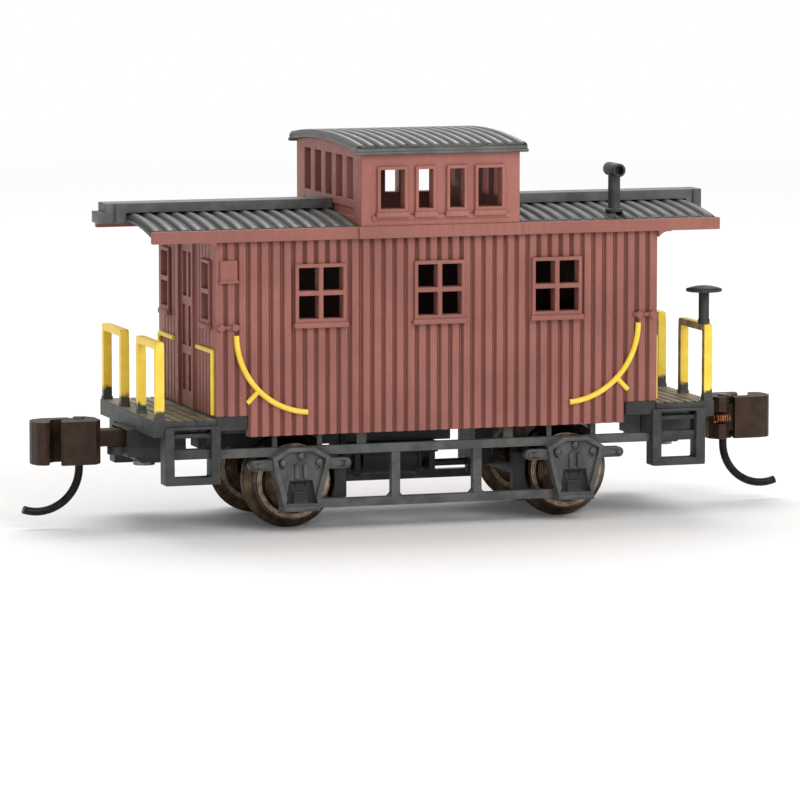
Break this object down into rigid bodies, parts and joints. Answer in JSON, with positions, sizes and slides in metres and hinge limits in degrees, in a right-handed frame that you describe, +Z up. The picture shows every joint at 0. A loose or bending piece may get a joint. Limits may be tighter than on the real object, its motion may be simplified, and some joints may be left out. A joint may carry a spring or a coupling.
{
  "type": "model caboose",
  "caption": "Small-scale four-wheel railway caboose with a cupola, end platforms with railings, rolling pin-point wheelsets and swinging knuckle couplers whose knuckles open.",
  "frame": {"origin": "under the middle of the car, on the plane that the wheel flanges stand on", "axes": "+X along the car to the end with the brake wheel (B end), +Y to the car's left, +Z up"},
  "size_m": [0.0552, 0.0158, 0.0269],
  "materials": {
    "body_red": "satin paint on moulded plastic",
    "roof_black": "satin",
    "frame_black": "satin",
    "handrail_yellow": "satin paint",
    "wheel_bronze": "turned and tinted",
    "axle_steel": "turned",
    "coupler_brown": "semi-matte moulded",
    "spring_copper": "bright drawn wire",
    "trip_wire": "blackened wire",
    "screw_steel": "blackened steel",
    "ballast_steel": "bare steel"
  },
  "bodies": {
    "car": {"body_shell": "body_red", "window_frames_left": "body_red", "window_frames_right": "body_red", "end_window_frames": "body_red", "end_door_a": "body_red", "end_door_b": "body_red", "marker_brackets": "body_red", "corner_plates": "body_red", "cupola_shell": "body_red", "cupola_frames": "body_red", "cupola_roof": "roof_black", "roof_a": "roof_black", "roof_b": "roof_black", "running_board_a": "roof_black", "running_board_b": "roof_black", "smoke_jack": "frame_black", "underframe": "frame_black", "side_frame_left": "frame_black", "side_frame_right": "frame_black", "platform_a": "frame_black", "platform_b": "frame_black", "step_a_left": "frame_black", "step_a_right": "frame_black", "step_b_left": "frame_black", "step_b_right": "frame_black", "brake_rigging": "frame_black", "brake_beam_a": "frame_black", "brake_beam_b": "frame_black", "coupler_lid_a": "frame_black", "coupler_lid_b": "frame_black", "brake_staff": "frame_black", "brake_wheel": "frame_black", "ballast_weight": "ballast_steel", "coupler_screws": "screw_steel", "centring_springs": "spring_copper", "railing_a_left": "handrail_yellow", "railing_a_right": "handrail_yellow", "railing_b_left": "handrail_yellow", "railing_b_right": "handrail_yellow", "side_handrails_left": "handrail_yellow", "side_handrails_right": "handrail_yellow", "end_handrails_a": "handrail_yellow", "end_handrails_b": "handrail_yellow"},
    "wheelset_a": {"axle_a": "axle_steel", "wheel_a_left": "wheel_bronze", "wheel_a_right": "wheel_bronze"},
    "coupler_a": {"coupler_head_a": "coupler_brown", "knuckle_pin_a": "screw_steel", "knuckle_spring_a": "spring_copper"},
    "knuckle_a": {"knuckle_a": "coupler_brown", "trip_pin_a": "trip_wire"},
    "wheelset_b": {"axle_b": "axle_steel", "wheel_b_left": "wheel_bronze", "wheel_b_right": "wheel_bronze"},
    "coupler_b": {"coupler_head_b": "coupler_brown", "knuckle_pin_b": "screw_steel", "knuckle_spring_b": "spring_copper"},
    "knuckle_b": {"knuckle_b": "coupler_brown", "trip_pin_b": "trip_wire"}
  },
  "joints": [
    {"name": "wheelset_a_roll", "type": "hinge", "parent": "car", "child": "wheelset_a", "pos_m": [-0.0099, 0, 0.00335], "axis": [0, 1, 0], "continuous": true},
    {"name": "coupler_a_swing", "type": "hinge", "parent": "car", "child": "coupler_a", "pos_m": [-0.019, 0, 0.006], "axis": [0, 0, 1], "range_deg": [-15, 15], "stiffness_Nm_per_rad": 0.0003},
    {"name": "knuckle_a_open", "type": "hinge", "parent": "coupler_a", "child": "knuckle_a", "pos_m": [-0.0235, 0.00045, 0.006], "axis": [0, 0, 1], "range_deg": [-20, 0], "stiffness_Nm_per_rad": 0.0003, "springref_deg": 11.46},
    {"name": "wheelset_b_roll", "type": "hinge", "parent": "car", "child": "wheelset_b", "pos_m": [0.0099, 0, 0.00335], "axis": [0, 1, 0], "continuous": true},
    {"name": "coupler_b_swing", "type": "hinge", "parent": "car", "child": "coupler_b", "pos_m": [0.019, 0, 0.006], "axis": [0, 0, 1], "range_deg": [-15, 15], "stiffness_Nm_per_rad": 0.0003},
    {"name": "knuckle_b_open", "type": "hinge", "parent": "coupler_b", "child": "knuckle_b", "pos_m": [0.0235, -0.00045, 0.006], "axis": [0, 0, 1], "range_deg": [-20, 0], "stiffness_Nm_per_rad": 0.0003, "springref_deg": 11.46}
  ]
}
